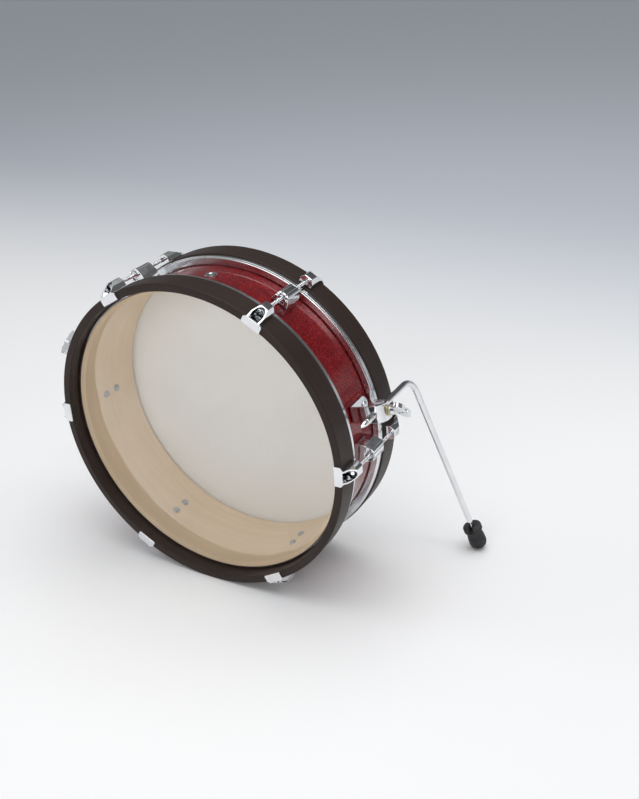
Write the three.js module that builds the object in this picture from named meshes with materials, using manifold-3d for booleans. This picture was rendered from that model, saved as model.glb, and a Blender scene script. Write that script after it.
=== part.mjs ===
// Shallow 18 inch bass drum with two heads, wood hoops, claw hooks and folding spurs.
// Millimetres, +Z up. The drum's axis is Y: the batter head faces -Y and the resonant head +Y.
import * as THREE from "three";
import { mergeVertices } from "three/addons/utils/BufferGeometryUtils.js";
import Module from "manifold-3d";

const wasm = await Module();
wasm.setup();

// Driving dimensions
const GAP = 0.3; // clearance between pieces that touch
const ROUND_SEGMENTS = 60; // facets around the drum
const SMALL_SEGMENTS = 12; // facets around rods and screws

const SHELL = { radius: 228.5, wall: 6.5, depth: 127, edge: 1.5 };
const HOOP = { inner: 231.5, outer: 243.5, depth: 38, bevel: 1.5 };
const OVERALL_DEPTH = 170; // over both wood hoops
const FILM = { thickness: 0.6, collarEnd: 41 };
const FLESH_HOOP = { inner: 230, outer: 241.5, depth: 8 };

const ROD = { circle: 251, radius: 2.75, innerEnd: 7 };
const ROD_HEAD = { flangeRadius: 5.2, flange: 1.6, square: 6.2, length: 9 };

const CLAW = { halfWidth: 10.7, ridgeHalfWidth: 6, shoulder: 251, sheet: 2, ridge: 258.5, ridgeStart: 67, back: 52 };
const CLAW_FLANGE = { halfWidth: 15.5, outer: 242 };
const CLAW_POCKET = { wall: 1.2, radius: 6.4, mouthRadius: 9.2, floor: 58 };

const LUG = { halfWidth: 13, topHalfWidth: 8, shoulder: 243, top: 258.5, halfLength: 18, topHalfLength: 16 };
const LUG_BORE = { radius: 3.4, nutRadius: 5.5, nutDepth: 5 };
const LUG_GROOVE = { offset: 3.6, halfWidth: 1, depth: 1.2 };

const VENT = { radius: 5.5, bore: 3.8, flangeRadius: 9, flange: 1.2 };

const SPUR_ANGLE = 13.9; // degrees above the horizontal, on each side
const SPUR_CIRCLE = 265.5; // radius of the spur rod's centre line
const BRACKET = { halfWidth: 12.5, sheet: 3, near: -14, far: 11, outer: 282, baseEnd: 34, freeEnd: 257 };
const BRACKET_BEND = { base: 4, near: 13, far: 6 }; // outside radii of the strap's corners
const BRACKET_SCREWS = { places: [-1, 23], hole: 2.6, shank: 2.2, head: 5.5, rise: 3 };

const SPUR_ROD = { radius: 4.75, tip: -52, cone: 17, elbow: 111, bend: 26, pinRadius: 3.5 };
const SPUR_RUN = new THREE.Vector3(95, 52, -307).normalize(); // of the lower leg, from elbow to floor
const EYE = { radius: 7.5, inner: 256.5, outer: 275.5, stemRadius: 4, stemEnd: 304 };
const WASHER = { radius: 8, thickness: 4.6 };
const WING_NUT = { hubRadius: 6.5, hub: 12, span: 42, barStart: 8, barEnd: 23, thickness: 8, parked: -45 };
const FOOT = { ball: 14, length: 45, waist: 11.5, ring: 15, ringHeight: 9, pinDepth: 26, bareSpike: 9 };

const PLACES = [
  ["right", 0],
  ["upper_right", 60],
  ["upper_left", 120],
  ["left", 180],
  ["lower_left", 240],
  ["lower_right", 300],
];
const HEADS = [
  ["batter", -1],
  ["resonant", 1],
];

// Materials
const metal = (color, roughness) => new THREE.MeshStandardMaterial({ color, roughness, metalness: 1 });
const plain = (color, roughness) => new THREE.MeshStandardMaterial({ color, roughness, metalness: 0 });
const MATERIALS = {
  lacquer: plain(0x7c0b14, 0.15),
  hoopWood: plain(0x2a231c, 0.45),
  clearFilm: plain(0xe9ecee, 0.1),
  coatedFilm: plain(0xf2f1ec, 0.6),
  aluminium: metal(0xb9bcc0, 0.35),
  chrome: metal(0xd8dade, 0.08),
  brass: metal(0xc7a45a, 0.3),
  rubber: plain(0x1b1c1e, 0.8),
};

// Solids: geometries go in and out of manifold-3d only to be joined and cut.
function solid(geometry) {
  const bare = geometry.index ? geometry.toNonIndexed() : geometry.clone();
  bare.deleteAttribute("normal");
  bare.deleteAttribute("uv");
  const merged = mergeVertices(bare, 1e-4);
  const mesh = new wasm.Mesh({
    numProp: 3,
    vertProperties: merged.attributes.position.array,
    triVerts: new Uint32Array(merged.index.array),
  });
  return new wasm.Manifold(mesh);
}

function geometryOf(body) {
  const { vertProperties, triVerts } = body.getMesh();
  const geometry = new THREE.BufferGeometry();
  geometry.setAttribute("position", new THREE.BufferAttribute(new Float32Array(vertProperties), 3));
  geometry.setIndex(new THREE.BufferAttribute(new Uint32Array(triVerts), 1));
  geometry.computeVertexNormals();
  return geometry;
}

function joined(first, ...others) {
  return others.reduce((body, other) => body.add(solid(other)), solid(first));
}

function cut(body, ...tools) {
  return tools.reduce((rest, tool) => rest.subtract(solid(tool)), body);
}

// Basic shapes. A profile is [radius, height] pairs and turns about Y.
function turned(profile, segments = ROUND_SEGMENTS) {
  const points = profile.map(([radius, height]) => new THREE.Vector2(radius, height));
  return new THREE.LatheGeometry([...points, points[0]], segments);
}

function block(x0, x1, y0, y1, z0, z1) {
  const box = new THREE.BoxGeometry(x1 - x0, y1 - y0, z1 - z0);
  return box.translate((x0 + x1) / 2, (y0 + y1) / 2, (z0 + z1) / 2);
}

// A round bar along Y between two heights, at radial distance x.
function barAlongY(radius, y0, y1, x = 0, segments = SMALL_SEGMENTS) {
  return new THREE.CylinderGeometry(radius, radius, y1 - y0, segments).translate(x, (y0 + y1) / 2, 0);
}

// A round bar along X between two radial distances, at height y.
function barAlongX(radius, x0, x1, y = 0, segments = SMALL_SEGMENTS) {
  const bar = new THREE.CylinderGeometry(radius, radius, x1 - x0, segments).rotateZ(-Math.PI / 2);
  return bar.translate((x0 + x1) / 2, y, 0);
}

// An outline in the X-Y plane, extruded along Z to both sides.
function sidePlate(outline, halfWidth) {
  const shape = outline instanceof THREE.Shape ? outline : new THREE.Shape(outline.map((p) => new THREE.Vector2(...p)));
  const options = { depth: 2 * halfWidth, bevelEnabled: false, curveSegments: 5 };
  return new THREE.ExtrudeGeometry(shape, options).translate(0, 0, -halfWidth);
}

// An outline in the X-Z plane, extruded along Y between two heights.
function crossPlate(outline, y0, y1) {
  const shape = outline instanceof THREE.Shape ? outline : new THREE.Shape(outline.map((p) => new THREE.Vector2(...p)));
  const options = { depth: y1 - y0, bevelEnabled: false, curveSegments: 6 };
  return new THREE.ExtrudeGeometry(shape, options).rotateX(Math.PI / 2).translate(0, y1, 0);
}

const drum = new THREE.Group();

function addPiece(name, geometry, material, parent = drum) {
  const mesh = new THREE.Mesh(geometry, material);
  mesh.name = name;
  parent.add(mesh);
  return mesh;
}

// Hardware is drawn with X pointing out of the shell, Y along the drum and Z along its rim.
// side -1 turns it round to face the batter head.
function rimPlace(degrees, side = 1) {
  const place = new THREE.Group();
  place.rotation.order = "YXZ";
  place.rotation.set(side > 0 ? 0 : Math.PI, -THREE.MathUtils.degToRad(degrees), 0);
  drum.add(place);
  return place;
}

// Shell, with bearing edges cut at 45 degrees inside, and a vent hole on top
function shellGeometry() {
  const { radius, wall, depth, edge } = SHELL;
  const inner = radius - wall;
  const half = depth / 2;
  const crest = radius - edge;
  const slope = crest - inner;
  const ring = turned([
    [inner, slope - half],
    [crest, -half],
    [radius, edge - half],
    [radius, half - edge],
    [crest, half],
    [inner, half - slope],
  ]);
  const ventHole = barAlongX(VENT.radius + GAP, inner - 5, radius + 5).rotateY(-Math.PI / 2);
  return geometryOf(cut(solid(ring), ventHole));
}

function ventGrommetGeometry() {
  const seat = SHELL.radius + GAP;
  const flange = barAlongX(VENT.flangeRadius, seat, seat + VENT.flange);
  const barrel = barAlongX(VENT.radius, SHELL.radius - SHELL.wall - 1, seat + VENT.flange / 2);
  const bore = barAlongX(VENT.bore, SHELL.radius - SHELL.wall - 5, seat + 5);
  return geometryOf(cut(joined(flange, barrel), bore));
}

// Head film: a disc over the bearing edge, with a collar down the outside of the shell
function filmGeometry() {
  const face = SHELL.depth / 2 + GAP;
  const inside = SHELL.radius + GAP;
  const outside = inside + FILM.thickness;
  const points = [
    [0, face],
    [inside, face],
    [inside, FILM.collarEnd],
    [outside, FILM.collarEnd],
    [outside, face + FILM.thickness / 2],
    [outside - FILM.thickness / 2, face + FILM.thickness],
    [0, face + FILM.thickness],
  ].map(([radius, height]) => new THREE.Vector2(radius, height));
  return new THREE.LatheGeometry(points, ROUND_SEGMENTS);
}

function fleshHoopGeometry() {
  const { inner, outer, depth } = FLESH_HOOP;
  const front = OVERALL_DEPTH / 2 - HOOP.depth - GAP;
  return turned([
    [inner, front - depth],
    [outer - 1, front - depth],
    [outer, front - depth + 1],
    [outer, front],
    [inner, front],
  ]);
}

function woodHoopGeometry() {
  const { inner, outer, depth, bevel } = HOOP;
  const front = OVERALL_DEPTH / 2;
  return turned([
    [inner, front - depth],
    [outer - bevel, front - depth],
    [outer, front - depth + bevel],
    [outer, front - bevel],
    [outer - bevel, front],
    [inner + bevel, front],
    [inner, front - bevel],
  ]);
}

// Claw hook: a wide flange over the hoop's face, a sloping front with a round bowl for the key
// head, and a ridge that the tension rod leaves at the back
function clawGeometry() {
  const { halfWidth, ridgeHalfWidth, shoulder, sheet, ridge, ridgeStart, back } = CLAW;
  const hoopFace = OVERALL_DEPTH / 2 + GAP;
  const hoopWall = HOOP.outer + GAP;
  const lip = HOOP.inner + GAP;
  const side = sidePlate(
    [
      [lip, hoopFace],
      [hoopWall, hoopFace],
      [hoopWall, back],
      [ridge, back],
      [ridge, ridgeStart],
      [hoopWall + sheet, hoopFace + sheet],
      [lip, hoopFace + sheet],
    ],
    halfWidth,
  );
  const taper = crossPlate(
    [
      [lip - 1, -halfWidth],
      [shoulder, -halfWidth],
      [ridge, -ridgeHalfWidth],
      [ridge, ridgeHalfWidth],
      [shoulder, halfWidth],
      [lip - 1, halfWidth],
    ],
    back - 1,
    hoopFace + sheet + 1,
  );
  const flange = crossPlate(
    [
      [lip, -CLAW_FLANGE.halfWidth],
      [CLAW_FLANGE.outer, -CLAW_FLANGE.halfWidth],
      [hoopWall + sheet, -halfWidth],
      [hoopWall + sheet, halfWidth],
      [CLAW_FLANGE.outer, CLAW_FLANGE.halfWidth],
      [lip, CLAW_FLANGE.halfWidth],
    ],
    hoopFace,
    hoopFace + sheet,
  );
  const { wall, radius, mouthRadius, floor } = CLAW_POCKET;
  const mouth = hoopFace + sheet + 1;
  const cone = new THREE.CylinderGeometry(mouthRadius, radius, mouth - floor, 16);
  cone.translate(ROD.circle, (mouth + floor) / 2, 0);
  const reach = block(hoopWall + wall, ridge + 5, floor, mouth, -halfWidth, halfWidth);
  const bowl = solid(cone).intersect(solid(reach));
  const rodHole = barAlongY(ROD.radius + 0.6, back - 1, hoopFace, ROD.circle);
  const body = solid(side).intersect(solid(taper)).add(solid(flange));
  return geometryOf(cut(body, rodHole).subtract(bowl));
}

// Tension rod, drawn on its own axis: thread end, shaft, flange and square key head
function rodGeometry() {
  const shoulder = CLAW_POCKET.floor + GAP;
  const flangeTop = shoulder + ROD_HEAD.flange;
  const half = ROD_HEAD.square / 2;
  const shaft = barAlongY(ROD.radius, ROD.innerEnd, shoulder + ROD_HEAD.flange / 2, ROD.circle);
  const flange = barAlongY(ROD_HEAD.flangeRadius, shoulder, flangeTop, ROD.circle);
  const head = block(ROD.circle - half, ROD.circle + half, flangeTop - 0.5, flangeTop + ROD_HEAD.length, -half, half);
  return geometryOf(joined(shaft, flange, head));
}

// Double-ended lug: a tapered block on the shell, bored through for the two rods
function lugGeometry() {
  const { halfWidth, topHalfWidth, shoulder, top, halfLength, topHalfLength } = LUG;
  const base = SHELL.radius + GAP;
  const length = sidePlate(
    [
      [base, -halfLength],
      [top, -topHalfLength],
      [top, topHalfLength],
      [base, halfLength],
    ],
    halfWidth,
  );
  const width = crossPlate(
    [
      [base, -halfWidth],
      [shoulder, -halfWidth],
      [top, -topHalfWidth],
      [top, topHalfWidth],
      [shoulder, halfWidth],
      [base, halfWidth],
    ],
    -halfLength,
    halfLength,
  );
  const bore = barAlongY(LUG_BORE.radius, -halfLength - 1, halfLength + 1, ROD.circle);
  const nutSeats = [-1, 1].map((end) => {
    const seat = end * (halfLength - LUG_BORE.nutDepth);
    const mouth = end * (halfLength + 1);
    return barAlongY(LUG_BORE.nutRadius, Math.min(seat, mouth), Math.max(seat, mouth), ROD.circle);
  });
  const grooves = [-1, 1].map((edge) => {
    const middle = edge * LUG_GROOVE.offset;
    const { halfWidth: half, depth } = LUG_GROOVE;
    return block(top - depth, top + 1, -halfLength, halfLength, middle - half, middle + half);
  });
  return geometryOf(cut(solid(length).intersect(solid(width)), bore, ...nutSeats, ...grooves));
}

// Spur bracket: one strap, bent out from its base plate, over the rod and part of the way back
function bracketOutline() {
  const { sheet, near, far, outer, baseEnd, freeEnd } = BRACKET;
  const bend = BRACKET_BEND;
  const base = SHELL.radius + GAP;
  const strap = new THREE.Shape();
  strap.moveTo(base, baseEnd);
  strap.lineTo(base, near + bend.base);
  strap.absarc(base + bend.base, near + bend.base, bend.base, Math.PI, 1.5 * Math.PI, false);
  strap.lineTo(outer - bend.near, near);
  strap.absarc(outer - bend.near, near + bend.near, bend.near, 1.5 * Math.PI, 2 * Math.PI, false);
  strap.lineTo(outer, far - bend.far);
  strap.absarc(outer - bend.far, far - bend.far, bend.far, 0, Math.PI / 2, false);
  strap.lineTo(freeEnd, far);
  strap.lineTo(freeEnd, far - sheet);
  strap.lineTo(outer - bend.far, far - sheet);
  strap.absarc(outer - bend.far, far - bend.far, bend.far - sheet, Math.PI / 2, 0, true);
  strap.lineTo(outer - sheet, near + bend.near);
  strap.absarc(outer - bend.near, near + bend.near, bend.near - sheet, 0, -Math.PI / 2, true);
  strap.lineTo(base + sheet + 1, near + sheet);
  strap.lineTo(base + sheet, near + sheet + 1);
  strap.lineTo(base + sheet, baseEnd);
  strap.closePath();
  return strap;
}

// The strap seen from outside: square at the near wall and round at the base plate's end
function bracketPlan() {
  const { halfWidth, near, baseEnd } = BRACKET;
  const plan = new THREE.Shape();
  plan.moveTo(near - 1, -halfWidth);
  plan.lineTo(baseEnd - halfWidth, -halfWidth);
  plan.absarc(baseEnd - halfWidth, 0, halfWidth, -Math.PI / 2, Math.PI / 2, false);
  plan.lineTo(near - 1, halfWidth);
  plan.closePath();
  const base = SHELL.radius;
  const depth = BRACKET.outer + 1 - base;
  const options = { depth, bevelEnabled: false, curveSegments: 6 };
  const sheet = new THREE.ExtrudeGeometry(plan, options);
  const frame = new THREE.Matrix4().makeBasis(
    new THREE.Vector3(0, 1, 0),
    new THREE.Vector3(0, 0, 1),
    new THREE.Vector3(1, 0, 0),
  );
  return sheet.applyMatrix4(frame).translate(base, 0, 0);
}

function bracketGeometry() {
  const { halfWidth, near, far, outer, sheet } = BRACKET;
  const base = SHELL.radius + GAP;
  const strap = solid(sidePlate(bracketOutline(), halfWidth)).intersect(solid(bracketPlan()));
  const rodHole = barAlongY(SPUR_ROD.radius + 0.6, near - 1, far + 1, SPUR_CIRCLE, 16);
  const stemHole = barAlongX(EYE.stemRadius + 0.5, outer - sheet - 1, outer + 1);
  const screwHoles = BRACKET_SCREWS.places.map((y) => barAlongX(BRACKET_SCREWS.hole, base - 1, base + sheet + 1, y));
  return geometryOf(cut(strap, rodHole, stemHole, ...screwHoles));
}

function bracketScrewGeometry(y) {
  const { shank, head, rise } = BRACKET_SCREWS;
  const seat = SHELL.radius + BRACKET.sheet + 2 * GAP;
  const dome = new THREE.LatheGeometry(
    [
      [0, 0],
      [head, 0],
      [head, rise * 0.35],
      [head * 0.7, rise * 0.85],
      [0, rise],
    ].map(([radius, height]) => new THREE.Vector2(radius, height)),
    SMALL_SEGMENTS,
  );
  dome.rotateZ(-Math.PI / 2).translate(seat, y, 0);
  return geometryOf(joined(dome, barAlongX(shank, SHELL.radius + GAP, seat + 1, y)));
}

// Eye bolt: a bored round head inside the bracket and a threaded stem out through it
function eyeBoltGeometry() {
  const head = barAlongX(EYE.radius, EYE.inner, EYE.outer, 0, 16);
  const stem = barAlongX(EYE.stemRadius, EYE.outer - 1, EYE.stemEnd);
  const bore = barAlongY(SPUR_ROD.radius + GAP, -EYE.radius - 1, EYE.radius + 1, SPUR_CIRCLE, 16);
  return geometryOf(cut(joined(head, stem), bore));
}

function springWasherGeometry() {
  const seat = BRACKET.outer + GAP;
  const ring = barAlongX(WASHER.radius, seat, seat + WASHER.thickness);
  const bore = barAlongX(EYE.stemRadius + GAP, seat - 1, seat + WASHER.thickness + 1);
  return geometryOf(cut(solid(ring), bore));
}

// Wing nut: a hub with a bar across its outer end, parked at an angle to the rim
function wingNutGeometry() {
  const { hubRadius, hub, span, barStart, barEnd, thickness, parked } = WING_NUT;
  const seat = BRACKET.outer + 2 * GAP + WASHER.thickness;
  const half = span / 2;
  const barrel = barAlongX(hubRadius, seat, seat + hub);
  const bar = sidePlate(
    [
      [seat + barStart, -hubRadius],
      [seat + barStart + 4, 1 - half],
      [seat + barEnd - 3, -half],
      [seat + barEnd, -half * 0.6],
      [seat + barEnd, half * 0.6],
      [seat + barEnd - 3, half],
      [seat + barStart + 4, half - 1],
      [seat + barStart, hubRadius],
    ],
    thickness / 2,
  );
  const bore = barAlongX(EYE.stemRadius + GAP, seat - 1, seat + barEnd + 1);
  return geometryOf(cut(joined(barrel, bar), bore)).rotateX(THREE.MathUtils.degToRad(parked));
}

// Spur leg, in the drum's own axes: a rod along the drum, bent down and out to a thin end pin
function spurAxis() {
  const angle = THREE.MathUtils.degToRad(SPUR_ANGLE);
  return new THREE.Vector3(SPUR_CIRCLE * Math.cos(angle), 0, SPUR_CIRCLE * Math.sin(angle));
}

function spurElbow() {
  return spurAxis().setY(SPUR_ROD.elbow);
}

// Centre of the foot's ball, one ball radius above the floor
function footCentre() {
  const elbow = spurElbow();
  const drop = elbow.z + HOOP.outer - FOOT.ball;
  return elbow.addScaledVector(SPUR_RUN, -drop / SPUR_RUN.z);
}

// Turns a piece drawn along +Y to lie along the lower leg, foot downwards, from a given point
function alongLeg(geometry, from) {
  const up = SPUR_RUN.clone().negate();
  const turn = new THREE.Quaternion().setFromUnitVectors(new THREE.Vector3(0, 1, 0), up);
  return geometry.applyQuaternion(turn).translate(from.x, from.y, from.z);
}

function spurLegGeometry() {
  const { radius, tip, cone, bend, pinRadius } = SPUR_ROD;
  const axis = spurAxis();
  const elbow = spurElbow();
  const foot = footCentre();
  const pinTop = FOOT.length - FOOT.ball + FOOT.bareSpike;
  const legEnd = foot.clone().addScaledVector(SPUR_RUN, -pinTop);
  const start = axis.clone().setY(tip + cone);
  const bendStart = elbow.clone().add(new THREE.Vector3(0, -bend, 0));
  const bendEnd = elbow.clone().addScaledVector(SPUR_RUN, bend);
  const path = new THREE.CurvePath();
  path.add(new THREE.LineCurve3(start, bendStart));
  path.add(new THREE.QuadraticBezierCurve3(bendStart, elbow, bendEnd));
  path.add(new THREE.LineCurve3(bendEnd, legEnd));
  const section = new THREE.Shape().absarc(0, 0, radius, 0, 2 * Math.PI, false);
  const rod = new THREE.ExtrudeGeometry(section, { steps: 40, curveSegments: 6, extrudePath: path });
  const nose = new THREE.CylinderGeometry(radius, 1, cone + 1, SMALL_SEGMENTS);
  nose.translate(axis.x, tip + (cone + 1) / 2, axis.z);
  const pinBottom = FOOT.length - FOOT.ball - FOOT.pinDepth;
  const pin = alongLeg(barAlongY(pinRadius, pinBottom, pinTop + 1), foot);
  return geometryOf(joined(rod, nose, pin));
}

function footGeometry() {
  const { ball, length, waist, ring, ringHeight, pinDepth } = FOOT;
  const top = length - ball;
  const points = [[0, -ball]];
  for (let step = 1; step <= 4; step += 1) {
    const angle = (step / 4) * (Math.PI / 2);
    points.push([ball * Math.sin(angle), -ball * Math.cos(angle)]);
  }
  points.push([waist, top - ringHeight - 3], [ring, top - ringHeight], [ring, top - 2], [ring - 2, top], [0, top]);
  const profile = points.map(([radius, height]) => new THREE.Vector2(radius, height));
  const body = solid(new THREE.LatheGeometry(profile, 20));
  const bore = barAlongY(SPUR_ROD.pinRadius + GAP, top - pinDepth - 1, top + 1);
  return alongLeg(geometryOf(cut(body, bore)), footCentre());
}

// Assembly
addPiece("shell", shellGeometry(), MATERIALS.lacquer);
addPiece("vent_grommet", ventGrommetGeometry(), MATERIALS.chrome, rimPlace(90));

for (const [head, side] of HEADS) {
  const end = rimPlace(0, side);
  const film = head === "batter" ? MATERIALS.clearFilm : MATERIALS.coatedFilm;
  addPiece(head + "_head_film", filmGeometry(), film, end);
  addPiece(head + "_flesh_hoop", fleshHoopGeometry(), MATERIALS.aluminium, end);
  addPiece(head + "_hoop", woodHoopGeometry(), MATERIALS.hoopWood, end);
  for (const [place, angle] of PLACES) {
    const spot = rimPlace(angle, side);
    addPiece(head + "_claw_" + place, clawGeometry(), MATERIALS.chrome, spot);
    addPiece(head + "_rod_" + place, rodGeometry(), MATERIALS.chrome, spot);
  }
}

for (const [place, angle] of PLACES) {
  addPiece("lug_" + place, lugGeometry(), MATERIALS.chrome, rimPlace(angle));
}

for (const side of ["right", "left"]) {
  const spot = rimPlace(side === "right" ? SPUR_ANGLE : 180 - SPUR_ANGLE);
  addPiece("spur_bracket_" + side, bracketGeometry(), MATERIALS.chrome, spot);
  BRACKET_SCREWS.places.forEach((y, index) => {
    addPiece("bracket_screw_" + side + "_" + (index + 1), bracketScrewGeometry(y), MATERIALS.chrome, spot);
  });
  addPiece("eye_bolt_" + side, eyeBoltGeometry(), MATERIALS.chrome, spot);
  addPiece("spring_washer_" + side, springWasherGeometry(), MATERIALS.brass, spot);
  addPiece("wing_nut_" + side, wingNutGeometry(), MATERIALS.chrome, spot);
  const mirrored = new THREE.Group();
  mirrored.scale.x = side === "right" ? 1 : -1;
  drum.add(mirrored);
  addPiece("spur_leg_" + side, spurLegGeometry(), MATERIALS.chrome, mirrored);
  addPiece("spur_foot_" + side, footGeometry(), MATERIALS.rubber, mirrored);
}

// The part's origin is the middle of its footprint, on the floor
const part = new THREE.Group();
part.add(drum);
part.updateMatrixWorld(true);
const extent = new THREE.Box3().setFromObject(drum, true);
const middle = extent.getCenter(new THREE.Vector3());
drum.position.set(-middle.x, -middle.y, -extent.min.z);

export default part;
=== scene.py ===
import bmesh
import bpy
import math
from mathutils import Matrix, Vector


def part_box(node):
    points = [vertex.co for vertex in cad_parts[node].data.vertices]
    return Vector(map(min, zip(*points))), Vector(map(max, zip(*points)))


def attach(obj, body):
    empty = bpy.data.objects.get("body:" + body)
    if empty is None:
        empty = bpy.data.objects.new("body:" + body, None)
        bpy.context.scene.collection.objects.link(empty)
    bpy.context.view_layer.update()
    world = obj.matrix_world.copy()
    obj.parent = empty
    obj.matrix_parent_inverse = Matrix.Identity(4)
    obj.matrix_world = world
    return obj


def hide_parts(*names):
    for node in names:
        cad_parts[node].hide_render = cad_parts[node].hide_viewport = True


# Looks of a shallow 18 inch bass drum with wood hoops, claw hooks and folding spurs.
# Every part is drawn in millimetres in the drum's own axes, from the middle of the shell, and is
# brought into the frame in metres. Hardware is drawn with X out of the shell, Y along the drum and
# Z along its rim, and is then turned round the rim to its place.

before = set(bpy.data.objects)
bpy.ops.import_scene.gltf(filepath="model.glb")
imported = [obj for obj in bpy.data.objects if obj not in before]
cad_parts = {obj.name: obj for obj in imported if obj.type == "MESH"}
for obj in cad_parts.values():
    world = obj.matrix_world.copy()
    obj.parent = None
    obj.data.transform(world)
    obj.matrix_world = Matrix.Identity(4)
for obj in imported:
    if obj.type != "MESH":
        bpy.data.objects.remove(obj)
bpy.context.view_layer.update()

# -------- sizes
MM = 0.001


def size_of(node):
    low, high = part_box(node)
    return (high - low) / MM


shell_low, shell_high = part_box("shell")
MIDDLE = (shell_low + shell_high) / 2
SHELL_RADIUS = size_of("shell").x / 2
SHELL_HALF = size_of("shell").y / 2
SHELL_WALL = 6.5
HOOP_RADIUS = size_of("batter_hoop").x / 2
HOOP_DEPTH = size_of("batter_hoop").y
HOOP_WALL = 12.0
FACE = (MIDDLE.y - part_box("batter_hoop")[0].y) / MM
FLESH_OUTER = size_of("batter_flesh_hoop").x / 2
FLESH_DEPTH = size_of("batter_flesh_hoop").y
FLESH_INNER = 230.0
COLLAR_END = 41.0
VENT_HOLE = 5.8
GAP = 0.3  # clearance between pieces that touch
ROD_CIRCLE = 251.0
ROD_RADIUS = 2.75
SPUR_ANGLE = 13.9
SPUR_CIRCLE = 265.5
RIM_PLACES = 6
RING_SEGMENTS = 240
THREAD_PITCH = 1.06
TO_FRAME = Matrix.Translation(MIDDLE) @ Matrix.Scale(MM, 4)
SIDES = {"batter": -1, "resonant": 1}
PLACES = ("right", "upper_right", "upper_left", "left", "lower_left", "lower_right")


# -------- node trees
class Wiring:
    """Adds nodes to a tree and feeds their inputs with values or with other nodes' outputs."""

    def __init__(self, tree):
        self.tree = tree

    def add(self, kind, feeds=None, **options):
        node = self.tree.nodes.new(kind)
        for option, value in options.items():
            setattr(node, option, value)
        for key, value in (feeds or {}).items():
            if isinstance(value, bpy.types.NodeSocket):
                self.link(value, node.inputs[key])
            else:
                node.inputs[key].default_value = value
        return node

    def first(self, kind, feeds=None, **options):
        """Adds a node and gives its first output."""
        return self.add(kind, feeds, **options).outputs[0]

    def link(self, value, socket):
        self.tree.links.new(value, socket)

    def maths(self, operation, *values):
        return self.first("ShaderNodeMath", dict(enumerate(values)), operation=operation)

    def vector(self, operation, *values):
        node = self.add("ShaderNodeVectorMath", dict(enumerate(values)), operation=operation)
        return node.outputs["Value" if operation == "LENGTH" else "Vector"]

    def blend(self, amount, first, second, mode="MIX"):
        feeds = {0: amount, 6: first, 7: second}
        return self.add("ShaderNodeMix", feeds, data_type="RGBA", blend_type=mode).outputs[2]

    def noise(self, vector, scale, detail=3.0, roughness=0.5, weight=None):
        feeds = {"Vector": vector, "Scale": scale, "Detail": detail, "Roughness": roughness}
        if weight is None:
            return self.add("ShaderNodeTexNoise", feeds).outputs["Fac"]
        feeds["W"] = weight
        return self.add("ShaderNodeTexNoise", feeds, noise_dimensions="4D").outputs["Fac"]

    def spread(self, value, low, high, new_low=0.0, new_high=1.0):
        feeds = {0: value, 1: low, 2: high, 3: new_low, 4: new_high}
        return self.first("ShaderNodeMapRange", feeds)

    def ramp(self, value, stops):
        """Turns a value into colours that are given at (place, colour) stops."""
        node = self.add("ShaderNodeValToRGB", {0: value})
        elements = node.color_ramp.elements
        for index, (place, colour) in enumerate(stops):
            element = elements[index] if index < 2 else elements.new(place)
            element.position = place
            element.color = (*colour, 1)
        return node.outputs[0]


def new_tree(name, kind, inputs, outputs):
    """A node group with named inputs, given as (name, socket kind, default), and named outputs."""
    tree = bpy.data.node_groups.new(name, kind)
    for label, socket, default in inputs:
        made = tree.interface.new_socket(name=label, in_out="INPUT", socket_type="NodeSocket" + socket)
        if default is not None:
            made.default_value = default
    for label, socket in outputs:
        tree.interface.new_socket(name=label, in_out="OUTPUT", socket_type="NodeSocket" + socket)
    wires = Wiring(tree)
    return tree, wires, wires.add("NodeGroupInput").outputs, wires.add("NodeGroupOutput").inputs


def painted(wires, shape, finish, out):
    """Ends a geometry tree: sets the finish on its shape and hands it out."""
    wires.link(wires.first("GeometryNodeSetMaterial", {"Geometry": shape, "Material": finish}), out)


def same_three_ways(wires, value):
    return wires.first("ShaderNodeCombineXYZ", {0: value, 1: value, 2: value})


def cornered(wires, path, radius, steps):
    """A path of straight edges as a curve whose corners are arcs."""
    line = wires.first("GeometryNodeMeshToCurve", {0: path})
    feeds = {"Curve": line, "Count": steps, "Radius": radius, "Limit Radius": True}
    return wires.first("GeometryNodeFilletCurve", feeds, mode="POLY")


def circle_of(wires, radius, facets):
    return wires.first("GeometryNodeCurvePrimitiveCircle", {"Resolution": facets, "Radius": radius})


def grown(name, tree, base=None, **values):
    """An object with the plain mesh that a geometry tree makes from its named inputs."""
    obj = bpy.data.objects.new(name, base or bpy.data.meshes.new(name))
    bpy.context.scene.collection.objects.link(obj)
    modifier = obj.modifiers.new("shape", "NODES")
    modifier.node_group = tree
    for item in tree.interface.items_tree:
        label = item.name.replace(" ", "_").lower()
        if item.item_type == "SOCKET" and item.in_out == "INPUT" and label in values:
            modifier[item.identifier] = values.pop(label)
    if values:
        raise ValueError(f"{tree.name} has no input {sorted(values)}")
    return applied(obj)


def applied(obj):
    """Makes an object's modifiers part of its mesh."""
    graph = bpy.context.evaluated_depsgraph_get()
    mesh = bpy.data.meshes.new_from_object(obj.evaluated_get(graph))
    obj.modifiers.clear()
    old, obj.data = obj.data, mesh
    mesh.name = obj.name
    if old.users == 0:
        bpy.data.meshes.remove(old)
    return obj


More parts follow.
